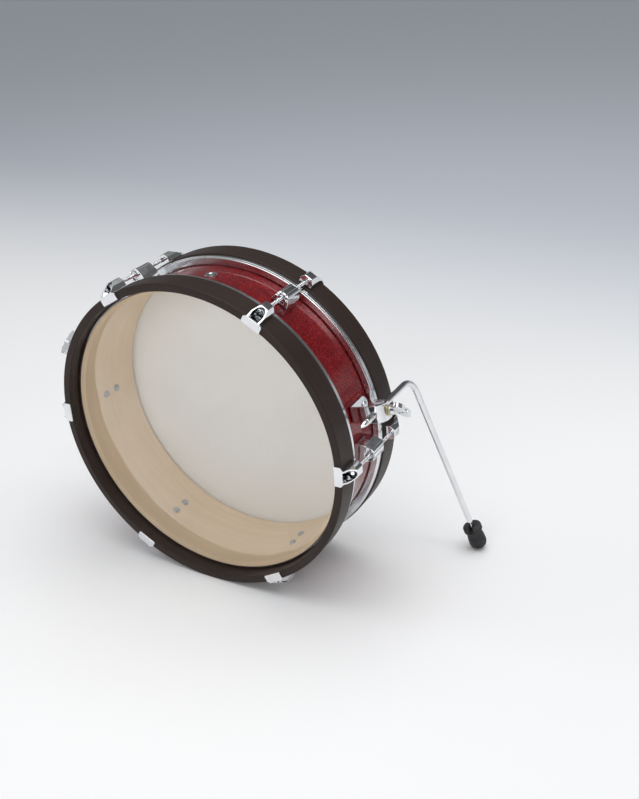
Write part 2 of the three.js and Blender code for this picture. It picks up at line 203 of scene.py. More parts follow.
# -------- shader groups
def ring_grain_group():
    """Wood bent into a ring: grain that runs round the drum, with pores and a slow change of colour."""
    tree, wires, given, out = new_tree(
        "ring_grain",
        "ShaderNodeTree",
        [
            ("Position", "Vector", None), ("Middle", "Vector", None),
            ("Light", "Color", (0.8, 0.6, 0.4, 1)), ("Dark", "Color", (0.5, 0.35, 0.2, 1)),
            ("Grain", "Float", 300.0), ("Run", "Float", 8.0),
        ],
        [("Colour", "Color"), ("Height", "Float")],
    )
    point = wires.vector("SUBTRACT", given["Position"], given["Middle"])
    parts = wires.add("ShaderNodeSeparateXYZ", {0: point}).outputs
    flat = wires.first("ShaderNodeCombineXYZ", {0: parts[0], 2: parts[2]})
    radius = wires.vector("LENGTH", flat)
    feeds = {
        0: wires.maths("MULTIPLY", parts[0], given["Run"]),
        1: wires.maths("MULTIPLY", parts[1], given["Grain"]),
        2: wires.maths("MULTIPLY", parts[2], given["Run"]),
    }
    stretched = wires.first("ShaderNodeCombineXYZ", feeds)
    depth = wires.maths("MULTIPLY", radius, given["Grain"])
    figure = wires.noise(stretched, 1.0, 5.0, 0.6, depth)
    pores = wires.noise(stretched, 4.0, 2.0, 0.6, depth)
    cloud = wires.noise(point, 9.0, 2.0)
    pore_mask = wires.spread(pores, 0.6, 0.75)
    figure_mask = wires.spread(figure, 0.32, 0.7)
    pores_part = wires.maths("MULTIPLY", pore_mask, 0.35)
    amount = wires.maths("ADD", wires.maths("MULTIPLY", figure_mask, 0.6), pores_part)
    amount = wires.maths("ADD", amount, wires.spread(cloud, 0.3, 0.7, -0.15, 0.15))
    mask = wires.first("ShaderNodeClamp", {0: amount})
    wires.link(wires.blend(mask, given["Light"], given["Dark"]), out["Colour"])
    wires.link(wires.maths("SUBTRACT", 1.0, pore_mask), out["Height"])
    return tree


def handling_group():
    """Marks of use: smudges that dull a finish, hairline scratches, and a mask of sharp edges that lightens
    them, partly as wear and partly as a painted edge highlight.
    """
    tree, wires, given, out = new_tree(
        "handling",
        "ShaderNodeTree",
        [
            ("Position", "Vector", None), ("Smudge Size", "Float", 40.0), ("Roughness", "Float", 0.1),
            ("Smudges", "Float", 0.08), ("Scratches", "Float", 0.05),
        ],
        [("Roughness", "Float"), ("Edge Mask", "Float"), ("Height", "Float")],
    )
    smudge = wires.spread(wires.noise(given["Position"], given["Smudge Size"], 4.0, 0.6), 0.4, 0.75)
    hairlines = (((0.4, 0.9, 0.3), (30, 900, 30)), ((1.3, -0.5, 0.8), (900, 40, 40)))
    lines = []
    for turn, stretch in hairlines:
        mapped = wires.first("ShaderNodeMapping", {0: given["Position"], 2: turn, 3: stretch})
        lines.append(wires.spread(wires.noise(mapped, 1.0, 1.0), 0.72, 0.78))
    scratch = wires.maths("MAXIMUM", *lines)
    # Sharp-edge mask: edges it picks out are lightened by the finishes, part wear and part painted highlight.
    pointed = wires.add("ShaderNodeNewGeometry").outputs["Pointiness"]
    edge = wires.spread(pointed, 0.52, 0.6)
    dull = wires.maths("MULTIPLY_ADD", smudge, given["Smudges"], given["Roughness"])
    dull = wires.maths("MULTIPLY_ADD", scratch, given["Scratches"], dull)
    wires.link(dull, out["Roughness"])
    wires.link(edge, out["Edge Mask"])
    wires.link(wires.maths("SUBTRACT", smudge, scratch), out["Height"])
    return tree


RING_GRAIN = ring_grain_group()
HANDLING = handling_group()


class Finish:
    """A material with a Principled BSDF, its Object coordinates and the groups it uses."""

    def __init__(self, name, **sockets):
        self.material = bpy.data.materials.new(name)
        self.material.use_nodes = True
        self.wires = Wiring(self.material.node_tree)
        self.shader = self.material.node_tree.nodes["Principled BSDF"]
        for label, value in sockets.items():
            self.shader.inputs[label.replace("_", " ")].default_value = value
        self.position = self.wires.add("ShaderNodeTexCoord").outputs["Object"]

    def placed(self, tree, **values):
        """Puts a node group in the material and gives its outputs."""
        feeds = {"Position": self.position}
        feeds.update({label.replace("_", " "): value for label, value in values.items()})
        return self.wires.add("ShaderNodeGroup", feeds, node_tree=tree).outputs

    def feed(self, label, value):
        self.wires.link(value, self.shader.inputs[label])

    def marked(self, roughness, smudges, scratches, size):
        """Adds marks of use to the finish's roughness and gives their outputs."""
        values = {"Smudges": smudges, "Scratches": scratches, "Smudge_Size": size}
        marks = self.placed(HANDLING, Roughness=roughness, **values)
        self.feed("Roughness", marks["Roughness"])
        return marks

    def bump(self, height, distance, strength=1.0):
        feeds = {"Height": height, "Distance": distance, "Strength": strength}
        self.feed("Normal", self.wires.add("ShaderNodeBump", feeds).outputs[0])


def chrome_finish(name, colour, roughness, ripple, ripple_size, smudges):
    """Plated metal; ripple is how much the casting or the bend under the plate shows, in metres."""
    finish = Finish(name, Base_Color=(*colour, 1), Metallic=1.0)
    marks = finish.marked(roughness, smudges, 0.08, 70.0)
    shade = tuple(0.8 * part for part in colour)
    tint = finish.wires.spread(finish.wires.noise(finish.position, 45.0, 2.0), 0.35, 0.75, 0.0, 0.5)
    finish.feed("Base Color", finish.wires.blend(tint, (*colour, 1), (*shade, 1)))
    wave = finish.wires.noise(finish.position, ripple_size, 1.0)
    height = finish.wires.maths("MULTIPLY_ADD", marks["Height"], 0.02, wave)
    finish.bump(height, ripple)
    return finish.material


def lacquer_finish():
    """Red sparkle lacquer: metal flakes of many tilts under a deep clear coat."""
    coat = {"Coat_Weight": 1.0, "Coat_Roughness": 0.03, "Coat_IOR": 1.38}
    finish = Finish("red_sparkle_lacquer", Specular_IOR_Level=0.1, **coat)
    wires = finish.wires
    flakes = wires.add("ShaderNodeTexVoronoi", {"Vector": finish.position, "Scale": 1150.0})
    parts = wires.add("ShaderNodeSeparateColor", {0: flakes.outputs["Color"]}).outputs
    stops = (
        (0.0, (0.06, 0.0, 0.001)), (0.5, (0.185, 0.0, 0.004)), (0.86, (0.34, 0.001, 0.009)),
        (0.98, (0.66, 0.05, 0.05)),
    )
    flake = wires.ramp(parts[0], stops)
    cloud = wires.spread(wires.noise(finish.position, 30.0, 3.0), 0.3, 0.7, 0.82, 1.0)
    shade = wires.first("ShaderNodeCombineColor", {0: cloud, 1: cloud, 2: cloud})
    finish.feed("Base Color", wires.blend(1.0, flake, shade, "MULTIPLY"))
    finish.feed("Metallic", wires.spread(parts[1], 0.2, 0.9, 0.2, 0.6))
    finish.marked(0.34, 0.06, 0.05, 25.0)
    tilt = wires.vector("SUBTRACT", flakes.outputs["Color"], (0.5, 0.5, 0.5))
    tilt = wires.vector("MULTIPLY", tilt, (0.42, 0.42, 0.42))
    normal = wires.vector("ADD", wires.add("ShaderNodeNewGeometry").outputs["Normal"], tilt)
    finish.feed("Normal", wires.vector("NORMALIZE", normal))
    return finish.material


def wood_finish(name, light, dark, grain, run, roughness, coat):
    """Wood bent round the drum under a coat; grain and run are how fine it is across and along."""
    finish = Finish(name, Specular_IOR_Level=0.22, Coat_Weight=coat, Coat_Roughness=0.22)
    colours = {"Light": (*light, 1), "Dark": (*dark, 1)}
    wood = finish.placed(RING_GRAIN, Middle=MIDDLE, Grain=grain, Run=run, **colours)
    marks = finish.marked(roughness, 0.1, 0.08, 18.0)
    # Lighter sharp edges: worn wood, with a painted highlight along the edges as well.
    edge_wear_and_highlight_colour = tuple(min(1.0, 1.8 * part) for part in light)
    amount = finish.wires.maths("MULTIPLY", marks["Edge Mask"], 0.35)
    finish.feed("Base Color", finish.wires.blend(amount, wood["Colour"], (*edge_wear_and_highlight_colour, 1)))
    finish.bump(wood["Height"], 0.00006)
    return finish.material


def clear_film_finish():
    """Clear drum film: nearly unseen from the front, a mirror at a grazing look."""
    finish = Finish("clear_film", Metallic=0.75, Roughness=0.04)
    wires = finish.wires
    turned_away = wires.add("ShaderNodeLayerWeight", {"Blend": 0.5}).outputs["Facing"]
    edge_on = wires.maths("POWER", turned_away, 3.5)
    finish.marked(0.03, 0.1, 0.06, 12.0)
    haze = wires.spread(wires.noise(finish.position, 7.0, 3.0), 0.4, 0.7, 0.03, 0.06)
    finish.feed("Alpha", wires.maths("MULTIPLY_ADD", edge_on, 0.9, haze))
    tint = wires.spread(wires.noise(finish.position, 5.0, 2.0), 0.3, 0.7)
    finish.feed("Base Color", wires.blend(tint, (0.93, 0.95, 0.96, 1), (0.97, 0.97, 0.95, 1)))
    finish.bump(wires.noise(finish.position, 6.0, 2.0), 0.0016)
    return finish.material


def coated_film_finish():
    """White coated film, slightly see-through, with the fine tooth of its coat."""
    finish = Finish("coated_film")
    wires = finish.wires
    cloud = wires.spread(wires.noise(finish.position, 11.0, 4.0), 0.35, 0.7)
    finish.feed("Base Color", wires.blend(cloud, (0.985, 0.98, 0.96, 1), (0.95, 0.94, 0.915, 1)))
    finish.marked(0.42, 0.12, 0.05, 15.0)
    finish.feed("Alpha", wires.spread(cloud, 0.0, 1.0, 0.78, 0.84))
    finish.bump(wires.noise(finish.position, 1600.0, 2.0), 0.00008)
    return finish.material


def brushed_finish(name, colour, roughness):
    """Rolled or machined metal with fine lines along its run."""
    finish = Finish(name, Metallic=1.0)
    wires = finish.wires
    mapped = wires.first("ShaderNodeMapping", {0: finish.position, 3: (10, 700, 10)})
    lines = wires.noise(mapped, 1.0, 3.0, 0.7)
    shade = tuple(0.86 * part for part in colour)
    finish.feed("Base Color", wires.blend(lines, (*colour, 1), (*shade, 1)))
    marks = finish.marked(roughness, 0.12, 0.1, 60.0)
    finish.feed("Roughness", wires.maths("MULTIPLY_ADD", lines, 0.06, marks["Roughness"]))
    finish.bump(lines, 0.000008)
    return finish.material


def rubber_finish():
    """Moulded rubber with a fine eggshell, patches of dust, and what stands proud lightened as dust and as a
    painted edge highlight.
    """
    finish = Finish("black_rubber")
    wires = finish.wires
    marks = finish.marked(0.6, 0.25, 0.1, 90.0)
    # What stands proud is lightened: dust, and a painted highlight along the edges.
    edge_dust_and_highlight = wires.maths("MULTIPLY", marks["Edge Mask"], 0.5)
    patch = wires.spread(wires.noise(finish.position, 120.0, 4.0), 0.45, 0.8, 0.0, 0.35)
    dust_and_edge_highlight = wires.maths("ADD", edge_dust_and_highlight, patch)
    finish.feed("Base Color", wires.blend(dust_and_edge_highlight, (0.012, 0.012, 0.014, 1), (0.07, 0.068, 0.064, 1)))
    eggshell = wires.add("ShaderNodeTexVoronoi", {"Vector": finish.position, "Scale": 1400.0})
    finish.bump(eggshell.outputs["Distance"], 0.0001, 0.6)
    return finish.material


CAST_CHROME = chrome_finish("cast_chrome", (0.86, 0.87, 0.89), 0.06, 0.0002, 55.0, 0.07)
BENT_CHROME = chrome_finish("bent_chrome", (0.82, 0.83, 0.85), 0.06, 0.00015, 40.0, 0.08)
ROD_CHROME = chrome_finish("rod_chrome", (0.83, 0.84, 0.86), 0.07, 0.0002, 60.0, 0.06)
ZINC_STEEL = chrome_finish("zinc_steel", (0.55, 0.56, 0.58), 0.3, 0.0001, 300.0, 0.15)
LACQUER = lacquer_finish()
MAPLE = ((0.90, 0.72, 0.50), (0.76, 0.57, 0.37))
SHELL_WOOD = wood_finish("shell_maple", *MAPLE, 260.0, 7.0, 0.42, 0.25)
STAIN = ((0.032, 0.019, 0.015), (0.013, 0.008, 0.006))
HOOP_WOOD = wood_finish("hoop_stained_maple", *STAIN, 420.0, 9.0, 0.45, 0.06)
CLEAR_FILM = clear_film_finish()
COATED_FILM = coated_film_finish()
ALUMINIUM = chrome_finish("rolled_aluminium", (0.80, 0.81, 0.83), 0.17, 0.00003, 30.0, 0.06)
WASHER_STEEL = brushed_finish("passivated_steel", (0.82, 0.76, 0.60), 0.25)
RUBBER = rubber_finish()


# -------- geometry trees
def ring_tree():
    """Turns a flat outline (out of the axis, along the axis) round the drum, with rounded corners."""
    tree, wires, given, out = new_tree(
        "turned_ring",
        "GeometryNodeTree",
        [
            ("Outline", "Geometry", None), ("Radius", "Float", 228.5), ("Corner", "Float", 0.5),
            ("Corner Steps", "Int", 3), ("Segments", "Int", RING_SEGMENTS), ("Middle", "Vector", None),
            ("Unit", "Float", MM), ("Finish", "Material", None),
        ],
        [("Ring", "Geometry")],
    )
    line = cornered(wires, given["Outline"], given["Corner"], given["Corner Steps"])
    circle = circle_of(wires, given["Radius"], given["Segments"])
    swept = wires.first("GeometryNodeCurveToMesh", {"Curve": circle, "Profile Curve": line})
    merged = wires.first("GeometryNodeMergeByDistance", {"Geometry": swept, "Distance": 0.002})
    feeds = {"Geometry": merged, "Rotation": (math.pi / 2, 0, 0)}
    upright = wires.first("GeometryNodeTransform", feeds)
    unit = same_three_ways(wires, given["Unit"])
    feeds = {"Geometry": upright, "Translation": given["Middle"], "Scale": unit}
    placed = wires.first("GeometryNodeTransform", feeds)
    painted(wires, placed, given["Finish"], out[0])
    return tree


def rim_tree():
    """Copies of one part round the drum's rim, the same angle apart, facing one head or the other."""
    tree, wires, given, out = new_tree(
        "round_the_rim",
        "GeometryNodeTree",
        [
            ("Part", "Geometry", None), ("Count", "Int", 1), ("First Angle", "Float", 0.0),
            ("Step", "Float", 2 * math.pi / RIM_PLACES), ("Turned Over", "Float", 0.0),
            ("Middle", "Vector", None), ("Unit", "Float", MM), ("Finish", "Material", None),
        ],
        [("Copies", "Geometry")],
    )
    feeds = {"Count": given["Count"], "Position": given["Middle"]}
    points = wires.first("GeometryNodePoints", feeds)
    order = wires.first("GeometryNodeInputIndex")
    angle = wires.maths("MULTIPLY_ADD", order, given["Step"], given["First Angle"])
    over = wires.maths("MULTIPLY", given["Turned Over"], math.pi)
    turn = wires.first("ShaderNodeCombineXYZ", {0: over, 1: wires.maths("MULTIPLY", angle, -1.0)})
    turn = wires.first("FunctionNodeEulerToRotation", {0: turn})
    unit = same_three_ways(wires, given["Unit"])
    feeds = {"Points": points, "Instance": given["Part"], "Rotation": turn, "Scale": unit}
    copies = wires.first("GeometryNodeInstanceOnPoints", feeds)
    real = wires.first("GeometryNodeRealizeInstances", {0: copies})
    painted(wires, real, given["Finish"], out[0])
    return tree


def thread_tree():
    """A screw thread on a stem along Z: one ridge that winds up from the start."""
    tree, wires, given, out = new_tree(
        "screw_thread",
        "GeometryNodeTree",
        [
            ("Start", "Float", 0.0), ("Length", "Float", 10.0), ("Radius", "Float", 2.75),
            ("Pitch", "Float", THREAD_PITCH), ("Ridge", "Float", 0.4), ("Steps", "Int", 20),
            ("Sides", "Int", 4),
        ],
        [("Thread", "Geometry")],
    )
    turns = wires.maths("DIVIDE", given["Length"], given["Pitch"])
    feeds = {
        "Resolution": given["Steps"],
        "Rotations": turns,
        "Start Radius": given["Radius"],
        "End Radius": given["Radius"],
        "Height": given["Length"],
    }
    line = wires.first("GeometryNodeCurveSpiral", feeds)
    ridge = circle_of(wires, given["Ridge"], given["Sides"])
    feeds = {"Curve": line, "Profile Curve": ridge, "Fill Caps": True}
    wound = wires.first("GeometryNodeCurveToMesh", feeds)
    lift = wires.first("ShaderNodeCombineXYZ", {2: given["Start"]})
    placed = wires.first("GeometryNodeTransform", {"Geometry": wound, "Translation": lift})
    wires.link(placed, out[0])
    return tree


def bent_rod_tree():
    """A round rod along a path of straight runs, with rounded elbows and closed ends."""
    tree, wires, given, out = new_tree(
        "bent_rod",
        "GeometryNodeTree",
        [
            ("Path", "Geometry", None), ("Radius", "Float", 4.75), ("Bend", "Float", 30.0),
            ("Bend Steps", "Int", 24), ("Facets", "Int", 40), ("Finish", "Material", None),
        ],
        [("Rod", "Geometry")],
    )
    line = cornered(wires, given["Path"], given["Bend"], given["Bend Steps"])
    section = circle_of(wires, given["Radius"], given["Facets"])
    feeds = {"Curve": line, "Profile Curve": section, "Fill Caps": True}
    rod = wires.first("GeometryNodeCurveToMesh", feeds)
    painted(wires, rod, given["Finish"], out[0])
    return tree


RING = ring_tree()
ROUND_THE_RIM = rim_tree()
THREAD = thread_tree()
BENT_ROD = bent_rod_tree()


# -------- shop work, in millimetres
def line_mesh(points, closed=False):
    """A mesh of edges through points, for a tree that needs an outline or a path."""
    mesh = bpy.data.meshes.new("line")
    points = [tuple(point) + (0,) * (3 - len(point)) for point in points]
    edges = [(i, i + 1) for i in range(len(points) - 1)] + ([(len(points) - 1, 0)] if closed else [])
    mesh.from_pydata(points, edges, [])
    return mesh


def blank(shape):
    """An object from a bmesh, with its faces turned outwards."""
    bmesh.ops.recalc_face_normals(shape, faces=shape.faces)
    mesh = bpy.data.meshes.new("blank")
    shape.to_mesh(mesh)
    shape.free()
    obj = bpy.data.objects.new("blank", mesh)
    bpy.context.scene.collection.objects.link(obj)
    return obj


LAY = {
    "X": lambda a, b, c: (c, a, b),
    "Y": lambda a, b, c: (a, c, b),
    "Z": lambda a, b, c: (a, b, c),
}


def prism(outline, low, high, across):
    """An outline in the other two axes, in their order, extruded along one axis."""
    shape = bmesh.new()
    lay = LAY[across]
    lows = [shape.verts.new(lay(a, b, low)) for a, b in outline]
    highs = [shape.verts.new(lay(a, b, high)) for a, b in outline]
    shape.faces.new(lows)
    shape.faces.new(reversed(highs))
    for index in range(len(outline)):
        shape.faces.new((lows[index], lows[index - 1], highs[index - 1], highs[index]))
    return blank(shape)


def turned(profile, along, at=(0, 0), facets=32):
    """(radius, height) pairs turned about one axis; at is where that axis stands in the other two."""
    shape = bmesh.new()
    lay = LAY[along]
    rings = []
    for radius, height in profile:
        count = facets if radius > 1e-6 else 1
        angles = [2 * math.pi * step / facets for step in range(count)]
        places = [(at[0] + radius * math.cos(a), at[1] + radius * math.sin(a)) for a in angles]
        rings.append([shape.verts.new(lay(*place, height)) for place in places])
    pairs = list(zip(rings, rings[1:]))
    if len(rings[0]) > 1 and len(rings[-1]) > 1:
        pairs.append((rings[-1], rings[0]))
    for one, two in pairs:
        for step in range(facets):
            here, on = step, step + 1
            corners = [one[here % len(one)], one[on % len(one)], two[on % len(two)], two[here % len(two)]]
            corners = list(dict.fromkeys(corners))
            if len(corners) > 2:
                shape.faces.new(corners)
    return blank(shape)


def bar(radius, low, high, along, at=(0, 0), facets=32):
    return turned([(0, low), (radius, low), (radius, high), (0, high)], along, at, facets)


def rounded(corners, steps=6):
    """An outline whose corners (a, b, radius) are arcs."""
    outline = []
    for index, (a, b, radius) in enumerate(corners):
        here = Vector((a, b))
        if not radius:
            outline.append(here)
            continue
        back = (Vector(corners[index - 1][:2]) - here).normalized()
        on = (Vector(corners[(index + 1) % len(corners)][:2]) - here).normalized()
        half = back.angle(on) / 2
        centre = here + (back + on).normalized() * radius / math.sin(half)
        start = here + back * radius / math.tan(half) - centre
        end = here + on * radius / math.tan(half) - centre
        outline.extend(centre + radius * start.slerp(end, step / steps) for step in range(steps + 1))
    return outline


def both_sides(corners, steps=6):
    """An outline that is the same on both sides of its middle, from the corners of its lower side."""
    return rounded(corners + [(a, -b, radius) for a, b, radius in reversed(corners)], steps)


def combine(operation, base, *tools):
    """Joins, cuts or intersects solids."""
    for tool in tools:
        modifier = base.modifiers.new("work", "BOOLEAN")
        modifier.operation = operation
        modifier.solver = "EXACT"
        modifier.object = tool
    applied(base)
    for tool in tools:
        bpy.data.objects.remove(tool)
    return base


def softened(base, width, segments=3, angle=28):
    """Breaks the sharp edges of a solid."""
    bevel = base.modifiers.new("edges", "BEVEL")
    bevel.width = width
    bevel.segments = segments
    bevel.limit_method = "ANGLE"
    bevel.angle_limit = math.radians(angle)
    bevel.use_clamp_overlap = False
    bevel.miter_outer = "MITER_ARC"
    return applied(base)


def put_together(base, *others):
    """Puts finished solids into one mesh, each still closed."""
    shape = bmesh.new()
    for obj in (base, *others):
        shape.from_mesh(obj.data)
    shape.to_mesh(base.data)
    shape.free()
    for obj in others:
        bpy.data.objects.remove(obj)
    return base


def turn_mesh(obj, matrix):
    obj.data.transform(matrix)
    return obj


def taken_mesh(obj):
    """The mesh of a work piece whose object is no longer needed."""
    mesh = obj.data
    bpy.data.objects.remove(obj)
    return mesh


def shaded(obj, sharp=40, weighted=True):
    """Smooth faces with sharp corners kept, and flat faces that stay flat beside their rounded edges."""
    obj.data.shade_smooth()
    obj.data.set_sharp_from_angle(angle=math.radians(sharp))
    if weighted:
        modifier = obj.modifiers.new("flats", "WEIGHTED_NORMAL")
        modifier.keep_sharp = True
        modifier.weight = 100
        applied(obj)
    return obj


def set_on(obj, body, nodes=()):
    """Fixes a finished piece to its body and the CAD nodes that it stands for."""
    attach(obj, body)
    if nodes:
        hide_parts(*nodes)
    return obj


def ring(name, corners, finish, corner=0.5, corner_steps=3, open_ends=False):
    """A turned ring from (radius, height) corners along the drum's axis."""
    outline = line_mesh([(radius - SHELL_RADIUS, height) for radius, height in corners], closed=not open_ends)
    corners = {"corner": corner, "corner_steps": corner_steps}
    obj = grown(name, RING, outline, radius=SHELL_RADIUS, middle=MIDDLE, finish=finish, **corners)
    shape = bmesh.new()
    shape.from_mesh(obj.data)
    bmesh.ops.recalc_face_normals(shape, faces=shape.faces)
    shape.to_mesh(obj.data)
    shape.free()
    return obj


def on_rim(name, part, finish, count=1, angle=0.0, side=1):
    """Copies of a hardware part at its places on the rim."""
    obj = grown(
        name,
        ROUND_THE_RIM,
        part,
        count=count,
        first_angle=math.radians(angle),
        turned_over=0.0 if side > 0 else 1.0,
        middle=MIDDLE,
        finish=finish,
    )
    return shaded(obj)


# -------- shell, hoops and heads
def shell_pieces():
    """The plies with their bearing edges and the lacquer skin outside them, bored for the vent."""
    skin = 0.4
    edge = 1.5
    inner = SHELL_RADIUS - SHELL_WALL
    crest = SHELL_RADIUS - edge
    slope = crest - inner
    back = SHELL_RADIUS - skin
    end = SHELL_HALF - edge
    plies = [
        (inner, slope - SHELL_HALF), (crest, -SHELL_HALF), (back, -end - skin), (back, end + skin),
        (crest, SHELL_HALF), (inner, SHELL_HALF - slope),
    ]
    wood = ring("shell_plies", plies, SHELL_WOOD, corner=0.5)
    outside = [(back + 0.02, -end), (SHELL_RADIUS, -end), (SHELL_RADIUS, end), (back + 0.02, end)]
    lacquer = ring("shell_lacquer_skin", outside, LACQUER, corner=0.12)
    for piece in (wood, lacquer):
        hole = bar(VENT_HOLE, inner - 5, SHELL_RADIUS + 5, "X", facets=48)
        turn_mesh(hole, TO_FRAME @ Matrix.Rotation(-math.pi / 2, 4, "Y"))
        combine("DIFFERENCE", piece, hole)
        shaded(piece, sharp=35)
    set_on(wood, "drum", ["shell"])
    set_on(lacquer, "drum", ["shell"])


def vent_grommet_piece():
    """Rolled metal grommet: a flange outside, a barrel through the shell and a curl inside."""
    inside = SHELL_RADIUS - SHELL_WALL - 1
    seat = SHELL_RADIUS + GAP
    profile = [(3.8, inside), (5.5, inside), (5.5, seat), (8.6, seat), (9.0, seat + 0.3)]
    profile += [(8.7, seat + 0.8), (7.6, seat + 1.15), (6.0, seat + 1.2), (4.8, seat + 1.0)]
    profile += [(4.0, seat + 0.4), (3.8, seat - 0.6)]
    part = taken_mesh(turned(profile, "X", facets=48))
    grommet = on_rim("vent_grommet_rolled", part, BENT_CHROME, angle=90)
    set_on(grommet, "drum", ["vent_grommet"])


def hoop_pieces():
    """Wood hoops, with their edges broken, and the aluminium hoops that hold the films."""
    inner = HOOP_RADIUS - HOOP_WALL
    for head, side in SIDES.items():
        back = FACE - HOOP_DEPTH
        wood = [(inner, back), (HOOP_RADIUS, back), (HOOP_RADIUS, FACE), (inner, FACE)]
        corners = [(r, side * y) for r, y in wood]
        hoop = ring(head + "_wood_hoop", corners, HOOP_WOOD, corner=1.9, corner_steps=5)
        set_on(shaded(hoop), "drum", [head + "_hoop"])
        front = back - GAP
        rear = front - FLESH_DEPTH
        channel = [
            (FLESH_INNER, rear), (FLESH_OUTER - 2.6, rear), (FLESH_OUTER - 2.2, rear + 0.9),
            (FLESH_OUTER, rear + 1.4), (FLESH_OUTER, front), (FLESH_INNER, front),
        ]
        corners = [(r, side * y) for r, y in channel]
        flesh = ring(head + "_film_channel", corners, ALUMINIUM, corner=0.7, corner_steps=4)
        set_on(shaded(flesh), "drum", [head + "_flesh_hoop"])


def head_pieces():
    """Films: flat over the bearing edge, rounded into the collar and down into their channel."""
    sheet = 0.3
    inside = SHELL_RADIUS + GAP
    face = SHELL_HALF + GAP
    corners = [
        (0, face), (inside, face), (inside, COLLAR_END), (inside + sheet, COLLAR_END),
        (inside + sheet, face + sheet), (0, face + sheet),
    ]
    films = (("batter", CLEAR_FILM, "clear_film"), ("resonant", COATED_FILM, "coated_film"))
    for head, finish, slot in films:
        outline = [(r, SIDES[head] * y) for r, y in corners]
        film = ring(head + "_film", outline, finish, corner=0.14, corner_steps=2, open_ends=True)
        set_on(shaded(film, sharp=60, weighted=False), "drum", [head + "_head_film"])


# -------- claws, rods and lugs
# A claw's lip, its walls and its face follow the hoop; the rest is its own.
CLAW_LIP = HOOP_RADIUS - HOOP_WALL + GAP
CLAW_WALL = HOOP_RADIUS + GAP
CLAW_FACE = FACE + GAP
CLAW_SHEET = 1.85
CLAW_BACK = 52.0
CLAW_RIDGE = 258.5
CLAW_RIDGE_START = 67.0
CLAW_SHOULDER = 251.0
CLAW_HALF = 10.7
CLAW_RIDGE_HALF = 6.0
CLAW_FLANGE_HALF = 15.5
CLAW_FLANGE_OUTER = 242.0
KEY_POCKET_FLOOR = 58.0


def claw_part():
    """Die-cast claw: a wide lip over the hoop, a sloping front scooped into a bowl, and a ridge."""
    slope = CLAW_WALL + CLAW_SHEET
    front = CLAW_FACE + CLAW_SHEET
    side = rounded(
        [
            (CLAW_LIP, CLAW_FACE, 0.5), (CLAW_WALL, CLAW_FACE, 0.6), (CLAW_WALL, CLAW_BACK, 0.4),
            (CLAW_RIDGE, CLAW_BACK, 1.2), (CLAW_RIDGE, CLAW_RIDGE_START, 3.5), (slope, front, 2.5),
            (CLAW_LIP, front, 0.9),
        ]
    )
    root = (CLAW_LIP - 3, -CLAW_HALF, 0)
    taper = both_sides([root, (CLAW_SHOULDER, -CLAW_HALF, 2.5), (CLAW_RIDGE, -CLAW_RIDGE_HALF, 2.4)])
    lip = both_sides(
        [
            (CLAW_LIP, -CLAW_FLANGE_HALF, 1.2), (CLAW_FLANGE_OUTER, -CLAW_FLANGE_HALF, 2.5),
            (slope, -CLAW_HALF, 1.0),
        ]
    )
    body = prism(side, -CLAW_HALF - 1, CLAW_HALF + 1, "Z")
    body = combine("INTERSECT", body, prism(taper, CLAW_BACK - 1, front + 1, "Y"))
    body = combine("UNION", body, prism(lip, CLAW_FACE, front, "Y"))
    floor = KEY_POCKET_FLOOR
    scoop = [(0, floor), (5.4, floor), (6.4, floor + 1), (6.6, 66), (7.6, 74), (9.3, 89), (0, 89)]
    bowl = turned(scoop, "Y", at=(ROD_CIRCLE, 0), facets=40)
    reach = both_sides([(CLAW_WALL + 1.2, -14, 3), (CLAW_RIDGE + 5, -14, 0)])
    bowl = combine("INTERSECT", bowl, prism(reach, floor - 1, 90, "Y"))
    hole = bar(ROD_RADIUS + 0.6, CLAW_BACK - 1, floor + 2, "Y", (ROD_CIRCLE, 0))
    body = combine("DIFFERENCE", body, bowl, hole)
    return taken_mesh(softened(body, 0.45))


def rod_part():
    """Tension rod: thread, shaft, collar and square key head with its corners taken off."""
    start = 7.0
    thread_end = 46.0
    core = ROD_RADIUS - 0.3
    shoulder = KEY_POCKET_FLOOR + GAP
    collar = shoulder + 1.6
    top = collar + 9.0
    at = (ROD_CIRCLE, 0)
    profile = [(0, start), (core - 0.4, start), (core, start + 0.6), (core, thread_end)]
    profile += [(ROD_RADIUS, thread_end + 0.6), (ROD_RADIUS, shoulder), (4.9, shoulder)]
    profile += [(5.2, shoulder + 0.3), (5.2, collar - 0.5), (4.7, collar), (0, collar)]
    shaft = turned(profile, "Y", at, facets=28)
    half = 3.1
    square = both_sides([(ROD_CIRCLE - half, -half, 0.5), (ROD_CIRCLE + half, -half, 0.5)], 3)
    head = prism(square, collar - 0.3, top, "Y")
    cone = [(0, collar - 1), (4.6, collar - 1), (4.6, top - 1.6), (2.9, top), (0, top)]
    cap = turned(cone, "Y", at, facets=32)
    head = softened(combine("INTERSECT", head, cap), 0.15, 2)
    ridge = 0.42
    length = thread_end - start - 1
    thread = grown("thread", THREAD, start=start + 0.8, length=length, radius=ROD_RADIUS - ridge, ridge=ridge)
    turn_mesh(thread, Matrix.Translation((ROD_CIRCLE, 0, 0)) @ Matrix.Rotation(-math.pi / 2, 4, "X"))
    return taken_mesh(put_together(shaft, head, thread))


def lug_part():
    """Double-ended die-cast lug: tapered, with two grooves down its face and an open seat at each end."""
    base = SHELL_RADIUS + GAP
    top = 258.5
    length = both_sides([(base, -18, 0.8), (top, -16, 2.6)])
    width = both_sides([(base, -13, 0.6), (243, -13, 4), (top, -8, 5)])
    body = combine("INTERSECT", prism(length, -14, 14, "Z"), prism(width, -19, 19, "Y"))
    tools = [bar(1.1, -20, 20, "Y", (top + 0.4, z), 20) for z in (-3.6, 3.6)]
    seat = both_sides([(243.4, -6.6, 2.2), (256.6, -5.2, 2.2)], 4)
    for end in (-1, 1):
        low, high = sorted((end * 12.6, end * 19))
        tools.append(prism(seat, low, high, "Y"))
    tools.append(bar(3.4, -14, 14, "Y", (ROD_CIRCLE, 0)))
    body = combine("DIFFERENCE", body, *tools)
    return taken_mesh(softened(body, 0.5))


